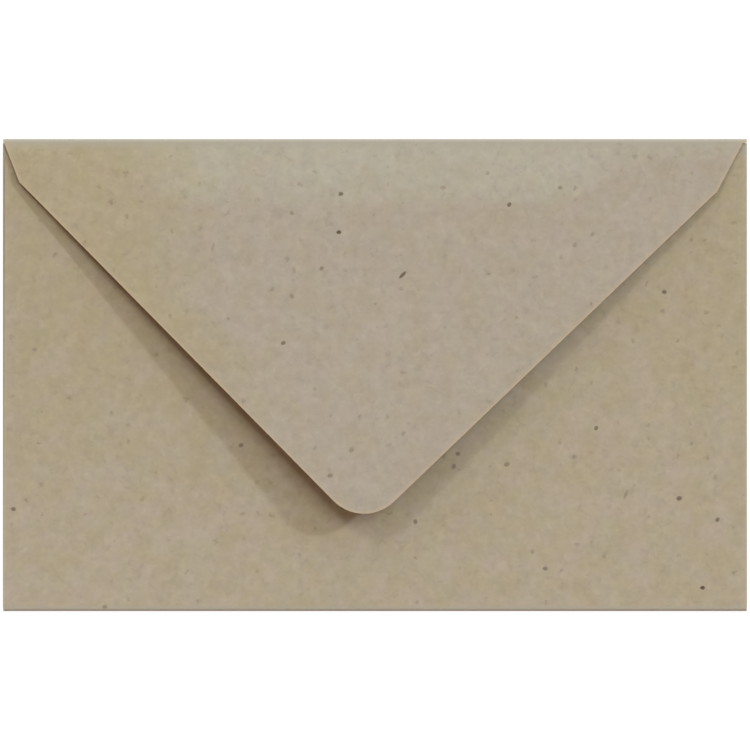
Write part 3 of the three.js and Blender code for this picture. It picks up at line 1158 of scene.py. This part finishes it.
def fibres(board, place, size, gate_size, gate_range):
    """Thin wandering lines, as where noise passes its middle, shown only where other noise allows."""
    wander = abs(board.noise(place, size, detail=1.0, roughness=0.4, distortion=0.3) - 0.5)
    gate = board.noise(place + FIBRE_GATE_SHIFT, gate_size, detail=1.0)
    return board.smooth(wander, *FIBRE_RANGE) * board.smooth(gate, *gate_range)


def flecks(board, place):
    """Faint crooked flecks, in some of the cells of a pattern, each with its own size and strength."""
    warped = place + FLECK_WARP * board.stray(place, FLECK_WARP_SIZE, detail=1.0)
    spot = board.node(
        "ShaderNodeTexVoronoi",
        {"voronoi_dimensions": "2D", "feature": "F1"},
        {"Vector": warped, "Scale": 1 / FLECK_SPACING, "Randomness": 1.0},
        "Distance",
    )
    inputs = {"Color": board.other(spot, "Color")}
    chance = board.node("ShaderNodeSeparateColor", inputs=inputs, out="Red")
    strength = board.other(chance, "Green")
    size = board.between(board.other(chance, "Blue"), *FLECK_WIDTHS)
    torn = board.noise(place, FLECK_TEAR_SIZE, detail=1.0) * FLECK_TEAR
    inside = board.smooth(spot / size + torn, *FLECK_RANGE)
    shade = FLECK_STRENGTH + FLECK_STRENGTH_MORE * strength * strength
    return inside * board.smooth(chance, *FLECK_CHANCE) * shade


def bent_by(board, colour, tint):
    """A colour changed by as much as a tint departs from the paper's middle colour."""
    both = board.blend(1.0, colour, tint, "MULTIPLY")
    return board.blend(1.0, both, bpy.context.scene.envelope_colours.kraft, "DIVIDE")


def blank_tint_and_shade(board, across, along, on_flap):
    """The paper's tint, which drifts along the blank and is yellower on the left part of the flap, with
    painted
    shade: the flap is darkened a little, to offset the extra light that its tilt catches.
    """
    colours = bpy.context.scene.envelope_colours
    fold = board.smooth(along, (2 * BOTTOM_Y - BACK_HIGH.y) / MM, BOTTOM_Y / MM)
    back = board.blend(fold, colours.back_end, colours.fold_end)
    band = board.smooth(across - along, *LEFT_BAND) * board.smooth(along, *LEFT_BAND_FADE)
    side = board.maths("MAXIMUM", board.smooth(across, *LEFT_CORNER), band)
    # Painted shade: the flap is darkened a little, to offset the extra light that its tilt catches
    flap = board.blend(side, colours.flap_painted_shade, colours.flap_side)
    return board.blend(on_flap, back, flap)


def kraft_colour(board, place):
    """Colour of uncreased kraft: its tint, with painted shade on the flap, soft blotches of cooler and
    yellower pulp, flocs, short pale and dark fibres, a tinge between red and green, and faint flecks."""
    colours = bpy.context.scene.envelope_colours
    across = board.part(place, "X")
    along = board.other(across, "Y")
    on_flap = board.smooth(along, BOTTOM_Y / MM, CREASE_Y / MM)
    drift = board.noise(place + DRIFT_SHIFT, DRIFT_SIZE, detail=1.0)
    blotch = board.noise(place, BLOTCH_SIZE)
    hue = board.smooth(DRIFT_SHARE * drift + (1 - DRIFT_SHARE) * blotch, *BLOTCH_RANGE)
    hue = 0.5 + (hue - 0.5) * (1.0 - FLAP_CALM * on_flap)
    pulp = board.blend(hue, colours.straw, colours.cool)
    colour = bent_by(board, blank_tint_and_shade(board, across, along, on_flap), pulp)
    floc = board.noise(place + FLOC_SHIFT, FLOC_SIZE, roughness=0.6) - 0.5
    pale = fibres(board, place, PALE_FIBRE_SIZE, PALE_GATE_SIZE, PALE_GATE_RANGE)
    dark = fibres(board, place + DARK_FIBRE_SHIFT, DARK_FIBRE_SIZE, DARK_GATE_SIZE, DARK_GATE_RANGE)
    value = 1.0 + floc * FLOC_STRENGTH + pale * PALE_FIBRE_STRENGTH - dark * DARK_FIBRE_STRENGTH
    tinge = board.noise(place + TINGE_SHIFT, TINGE_SIZE) - 0.5
    tinted = value * (1.0, 1.0, 1.0) + tinge * TINGE_STRENGTH
    colour = board.blend(1.0, colour, tinted, "MULTIPLY")
    return board.blend(flecks(board, place), colour, colours.shive)


def kraft_material():
    """Recycled kraft: raw cut edges, crushed folds, and painted light on the edges, the folds and the throat
    band.
    """
    found = bpy.data.materials.get("kraft_paper_sheet")
    if found:
        return found
    board, material = shader("kraft_paper_sheet")
    colours = bpy.context.scene.envelope_colours
    place = blank_place(board)
    colour = kraft_colour(board, place)
    # Painted highlight: the band above the throat is made lighter and cooler, unevenly
    uneven = board.smooth(board.noise(place + THROAT_HIGHLIGHT_SHIFT, THROAT_HIGHLIGHT_SIZE), *THROAT_HIGHLIGHT_RANGE)
    pressed = attribute(board, "pressed") * board.between(uneven, *THROAT_HIGHLIGHT_SHARE)
    colour = board.blend(pressed, colour, bent_by(board, colour, colours.pressed))
    # The folds: crushed paper, and painted light that makes up for the dimmer, warmer light the rolls catch
    crease = attribute(board, "crease")
    cracks = board.smooth(board.noise(place, CRACK_SIZE, detail=3.0, roughness=0.7), *CRACK_RANGE)
    crushed = crease * board.between(cracks, *CRUSHED_AND_LIT_SHARE)
    colour = board.blend(crushed, colour, colours.crushed_and_lit)
    # The cut edges: pale raw fibres and a painted highlight along them, more of it on the flap
    fuzz = board.noise(place, FUZZ_SIZE, detail=3.0)
    on_flap = board.part(place, "Y") > CREASE_Y / MM
    raw_and_lit_edge = board.between(fuzz, *RAW_EDGE_AND_HIGHLIGHT_SHARE) + RAW_EDGE_AND_HIGHLIGHT_ON_FLAP * on_flap
    colour = board.blend(attribute(board, "edge") * raw_and_lit_edge, colour, colours.raw_edge_and_highlight)
    height = kraft_relief(board, place) + crease * cracks * CRACK_HEIGHT
    roughness = board.between(board.noise(place, SHEEN_SIZE), *KRAFT_ROUGHNESS)
    normal = bumps(board, height, strength=0.28)
    surface(board, colour, roughness, normal, **{"Specular IOR Level": 0.25})
    return material


def shive_material():
    """Bark splinters, from tan to nearly black by each one's own shade, and paler at their thin rims."""
    found = bpy.data.materials.get("shive_splinters")
    if found:
        return found
    board, material = shader("shive_splinters")
    colours = bpy.context.scene.envelope_colours
    shade = attribute(board, "shade")
    streak = board.noise(object_place(board), STREAK_SIZE)
    core = board.between(attribute(board, "core"), *SHIVE_CORE_SHARE)
    dark = shade * core * board.between(streak, *SHIVE_STREAK_SHARE)
    colour = board.blend(dark, colours.kraft, colours.shive)
    roughness = board.between(streak, *SHIVE_ROUGHNESS)
    surface(board, colour, roughness, **{"Specular IOR Level": 0.1})
    return material


def gum_material():
    """Dried gum: glossy, faintly crazed and thinner where the roller skipped."""
    board, material = shader("dried_gum")
    colours = bpy.context.scene.envelope_colours
    place = blank_place(board)
    cover = board.smooth(board.noise(place, GUM_COVER_SIZE, detail=3.0), *GUM_COVER_RANGE)
    paper = kraft_colour(board, place + GUM_SHIFT)
    colour = board.blend(board.between(cover, *GUM_SHARE), paper, colours.gum)
    # The gum's cut edges: pale raw fibres and a painted highlight along them
    colour = board.blend(attribute(board, "edge") * GUM_EDGE_AND_HIGHLIGHT_SHARE, colour, colours.raw_edge_and_highlight)
    peel = zip(GUM_PEEL_SIZES, GUM_PEEL_HEIGHTS)
    coarse, fine = (board.noise(place, size) * height for size, height in peel)
    roughness = board.between(1.0 - cover, *GUM_ROUGHNESS)
    normal = bumps(board, coarse + fine, strength=0.5)
    surface(board, colour, roughness, normal, **{"Specular IOR Level": 0.5})
    return material


def glue_material():
    """Dried seam glue: pale, with the marks of the strip that spread it."""
    board, material = shader("dried_seam_glue")
    colours = bpy.context.scene.envelope_colours
    place = object_place(board)
    strands = board.noise(place * GLUE_STRETCH, GLUE_STRAND_SIZE, detail=3.0)
    blotches = board.noise(place, GLUE_BLOTCH_SIZE)
    colour = board.blend(board.between(blotches, *GLUE_PAPER_SHARE), colours.glue, colours.kraft)
    colour = board.blend(1.0, colour, board.between(strands, *GLUE_STRAND_SHADE), "MULTIPLY")
    roughness = board.between(strands, *GLUE_ROUGHNESS)
    normal = bumps(board, strands * GLUE_STRAND_HEIGHT, strength=0.4)
    surface(board, colour, roughness, normal, **{"Specular IOR Level": 0.4})
    return material


class ENVELOPE_OT_front_sheet(Operator):
    """Folds the front panel's sheet, with both side folds and both side flaps"""

    bl_idname = "envelope.front_sheet"
    bl_label = "Front Sheet and Side Flaps"

    def execute(self, context):
        grid, edges, creases = front_blank(context.scene.envelope_sizes)
        kraft = kraft_material()
        piece = flat_sheet("front_sheet", grid, edges, creases, nowhere)
        for side in (1.0, -1.0):
            folded(piece, (side, 0.0, 0.0), SIDE_X, SIDE_ROLL, math.pi, kraft)
        made_plain(piece)
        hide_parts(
            "front_panel",
            "left_side_fold",
            "right_side_fold",
            "left_side_flap",
            "right_side_flap",
        )
        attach(piece, "pocket")
        return {"FINISHED"}


class ENVELOPE_OT_back_sheet(Operator):
    """Folds the back panel's sheet up round the bottom fold"""

    bl_idname = "envelope.back_sheet"
    bl_label = "Back Sheet and Bottom Fold"

    def execute(self, context):
        sizes = context.scene.envelope_sizes
        grid, edges, creases = back_blank(sizes)
        kraft = kraft_material()
        piece = flat_sheet("back_sheet", grid, edges, creases, back_looseness)
        rippled(piece, sizes.ripple, BACK_SEED, kraft)
        folded(piece, (0.0, -1.0, 0.0), -BOTTOM_Y, BOTTOM_ROLL, math.pi, kraft)
        made_plain(piece)
        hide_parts("back_panel", "bottom_fold")
        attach(piece, "pocket")
        return {"FINISHED"}


class ENVELOPE_OT_flap_sheet(Operator):
    """Folds the seal flap's sheet over its crease"""

    bl_idname = "envelope.flap_sheet"
    bl_label = "Flap Sheet and Crease"

    def execute(self, context):
        grid, edges, creases = flap_blank(context.scene.envelope_sizes)
        kraft = kraft_material()
        piece = flat_sheet("flap_sheet", grid, edges, creases, flap_looseness, above_throat)
        over_flap_crease(piece, kraft)
        made_plain(piece)
        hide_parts("seal_flap", "flap_crease")
        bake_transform(piece)
        return {"FINISHED"}


class ENVELOPE_OT_flap_gum(Operator):
    """Spreads the band of dried gum along the inside of the flap's slanting edges"""

    bl_idname = "envelope.flap_gum"
    bl_label = "Flap Gum"

    def execute(self, context):
        grid = gum_grid(context.scene.envelope_sizes)
        outline = np.concatenate((grid[:, 0], grid[-1, 1:], grid[-2::-1, -1], grid[0, -2::-1]))
        depths = (PAPER - GUM_DEPTH / 2, PAPER + GUM_DEPTH)
        piece = flat_sheet("flap_gum_film", grid, [outline], (), flap_looseness, depths=depths)
        gum = gum_material()
        over_flap_crease(piece, gum)
        made_plain(piece)
        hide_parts("flap_gum")
        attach(piece, "flap")
        return {"FINISHED"}


class ENVELOPE_OT_seam_glue(Operator):
    """Gives the glue in both side seams its dried finish"""

    bl_idname = "envelope.seam_glue"
    bl_label = "Seam Glue"

    def execute(self, context):
        glue = glue_material()
        for side in ("left", "right"):
            node = frame["nodes"][f"{side}_seam_glue"]
            node.data.materials.clear()
            node.data.materials.append(glue)
        return {"FINISHED"}


def shive_points(name, shives):
    """One loose point for each shive of a list, above the envelope."""
    mesh = bpy.data.meshes.new(name)
    mesh.from_pydata([(x * MM, y * MM, DROP_HEIGHT) for x, y, *_ in shives], [], [])
    rows = [(*SHIVE_KINDS[kind], math.radians(turn), shade) for x, y, kind, turn, shade in shives]
    for label, values in zip(("length", "width", "turn", "shade"), np.array(rows).T):
        attribute = mesh.attributes.new(label, "FLOAT", "POINT")
        attribute.data.foreach_set("value", values.astype(np.float32))
    return linked(name, mesh)


class ENVELOPE_OT_large_shives(Operator):
    """Lays the darkest shives on the flap and on the back panel"""

    bl_idname = "envelope.large_shives"
    bl_label = "Large Shives"

    def execute(self, context):
        seed = context.scene.envelope_sizes.seed
        cases = (
            ("flap_shives", FLAP_SHIVES, "flap_sheet", "flap"),
            ("back_shives", BACK_SHIVES, "back_sheet", "pocket"),
        )
        for name, shives, paper, body in cases:
            piece = shive_points(name, shives)
            tree = tree_named("placed_shives", placed_shives_tree)
            values = {
                "Paper Below": bpy.data.objects[paper],
                "Seed": seed,
                "Material": shive_material(),
            }
            add_tree(piece, tree, values)
            made_plain(piece)
            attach(piece, body)
        return {"FINISHED"}


class ENVELOPE_OT_small_shives(Operator):
    """Scatters small shives over both faces of each sheet"""

    bl_idname = "envelope.small_shives"
    bl_label = "Small Shives"

    def execute(self, context):
        seed = context.scene.envelope_sizes.seed
        for k, (part, body, density, longest, darkest) in enumerate(FINE_SHIVES):
            paper = bpy.data.objects[f"{part}_sheet"]
            piece = linked(f"{part}_fine_shives", paper.data.copy())
            tree = tree_named("scattered_shives", scattered_shives_tree)
            values = {
                "Density": density,
                "Longest": longest,
                "Darkest": darkest,
                "Seed": seed + k,
                "Material": shive_material(),
            }
            add_tree(piece, tree, values)
            made_plain(piece)
            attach(piece, body)
        return {"FINISHED"}


def seen_directly(board):
    """1 for rays that end in the picture: from the camera, or by a mirror or glass."""
    path = board.node("ShaderNodeLightPath", out="Is Camera Ray")
    glossy = board.other(path, "Is Glossy Ray")
    through = board.other(path, "Is Transmission Ray")
    return board.maths("MAXIMUM", board.maths("MAXIMUM", path, glossy), through)


def floor_material():
    """White floor that keeps the envelope's shadow."""
    board, material = shader("white_floor")
    lit = board.node("ShaderNodeBsdfDiffuse", inputs={"Color": FLOOR_COLOUR})
    glow = board.node("ShaderNodeEmission", inputs={"Color": WHITE, "Strength": FLOOR_GLOW})
    inputs = {0: seen_directly(board) * FLOOR_LIFT, 1: lit, 2: glow}
    mixed = board.node("ShaderNodeMixShader", inputs=inputs)
    board.node("ShaderNodeOutputMaterial", inputs={"Surface": mixed})
    return material


def light_world(light):
    """Light from all round and more from each of four sides. The camera sees plain white."""
    world = bpy.data.worlds.new("studio")
    world.use_nodes = True
    world.node_tree.nodes.clear()
    board = Board(world.node_tree)
    towards = board.node("ShaderNodeTexCoord", out="Generated")
    across = board.part(towards, "X")
    along = board.other(across, "Y")
    sides = (
        (light.sky_right, across),
        (light.sky_left, -1.0 * across),
        (light.sky_beyond, along),
        (light.sky_near, -1.0 * along),
    )
    colour = tuple(light.sky)
    for share, slope in sides:
        colour = colour + board.maths("MAXIMUM", slope, 0.0) * tuple(c / SIDE_SHARE for c in share)
    sky = board.node("ShaderNodeBackground", inputs={"Color": colour})
    white = board.node("ShaderNodeBackground", inputs={"Color": WHITE})
    mixed = board.node("ShaderNodeMixShader", inputs={0: seen_directly(board), 1: sky, 2: white})
    board.node("ShaderNodeOutputWorld", inputs={"Surface": mixed})
    bpy.context.scene.world = world


def add_lamp(name, towards, share, spread):
    """A far lamp that gives a level sheet this share of its light, in red, green and blue."""
    direction = towards.normalized()
    lamp = bpy.data.lights.new(name, "SUN")
    lamp.energy = max(share) * math.pi / direction.z
    lamp.color = [channel / max(share) for channel in share]
    lamp.angle = spread
    linked(name, lamp).rotation_euler = direction.to_track_quat("Z", "Y").to_euler()


class ENVELOPE_OT_stage(Operator):
    """Sets up the floor, the lamps, the sky and the camera"""

    bl_idname = "envelope.stage"
    bl_label = "Stage"

    def execute(self, context):
        scene = context.scene
        half = FLOOR_SIZE / 2
        mesh = bpy.data.meshes.new("floor")
        corners = ((-half, -half), (half, -half), (half, half), (-half, half))
        mesh.from_pydata([(x, y, -FLOOR_DROP) for x, y in corners], [], [(0, 1, 2, 3)])
        mesh.materials.append(floor_material())
        floor = linked("floor", mesh)
        light = scene.envelope_light
        light_world(light)
        add_lamp("key_lamp", KEY_DIRECTION, light.key, KEY_SPREAD)
        add_lamp("overhead_lamp", OVERHEAD_DIRECTION, light.overhead, OVERHEAD_SPREAD)
        add_lamp("fill_lamp", FILL_DIRECTION, light.fill, FILL_SPREAD)
        camera = bpy.data.cameras.new("camera")
        camera.sensor_width = SENSOR
        camera.lens = SENSOR * CAMERA_HEIGHT / VIEW_WIDTH
        camera.clip_end = CAMERA_REACH
        holder = linked("camera", camera)
        holder.location = (0, 0, CAMERA_HEIGHT + BACK_HIGH.z)
        scene.camera = holder
        scene.view_settings.view_transform = "Standard"
        return {"FINISHED"}


STEPS = (
    ENVELOPE_OT_front_sheet,
    ENVELOPE_OT_back_sheet,
    ENVELOPE_OT_flap_sheet,
    ENVELOPE_OT_flap_gum,
    ENVELOPE_OT_seam_glue,
    ENVELOPE_OT_large_shives,
    ENVELOPE_OT_small_shives,
    ENVELOPE_OT_stage,
)


class ENVELOPE_PT_sidebar(Panel):
    """Lists the envelope's pieces and its sizes, colours and light."""

    bl_label = "Kraft Envelope"
    bl_space_type = "VIEW_3D"
    bl_region_type = "UI"
    bl_category = "Envelope"

    def draw(self, context):
        layout = self.layout
        for step in STEPS:
            layout.operator(step.bl_idname)
        for group in GROUPS:
            box = layout.box()
            held_by = getattr(context.scene, group)
            for name in held_by.bl_rna.properties.keys():
                if name not in ("rna_type", "name"):
                    box.prop(held_by, name)


GROUPS = {
    "envelope_sizes": EnvelopeSizes,
    "envelope_colours": EnvelopeColours,
    "envelope_light": EnvelopeLight,
}


def register():
    for group in (*GROUPS.values(), *STEPS, ENVELOPE_PT_sidebar):
        bpy.utils.register_class(group)
    for name, group in GROUPS.items():
        setattr(bpy.types.Scene, name, PointerProperty(type=group))


def unregister():
    for name in GROUPS:
        delattr(bpy.types.Scene, name)
    for group in (ENVELOPE_PT_sidebar, *reversed(STEPS), *GROUPS.values()):
        bpy.utils.unregister_class(group)


def main():
    register()
    for step in STEPS:
        space, name = step.bl_idname.split(".")
        getattr(getattr(bpy.ops, space), name)()


if __name__ == "__main__":
    main()
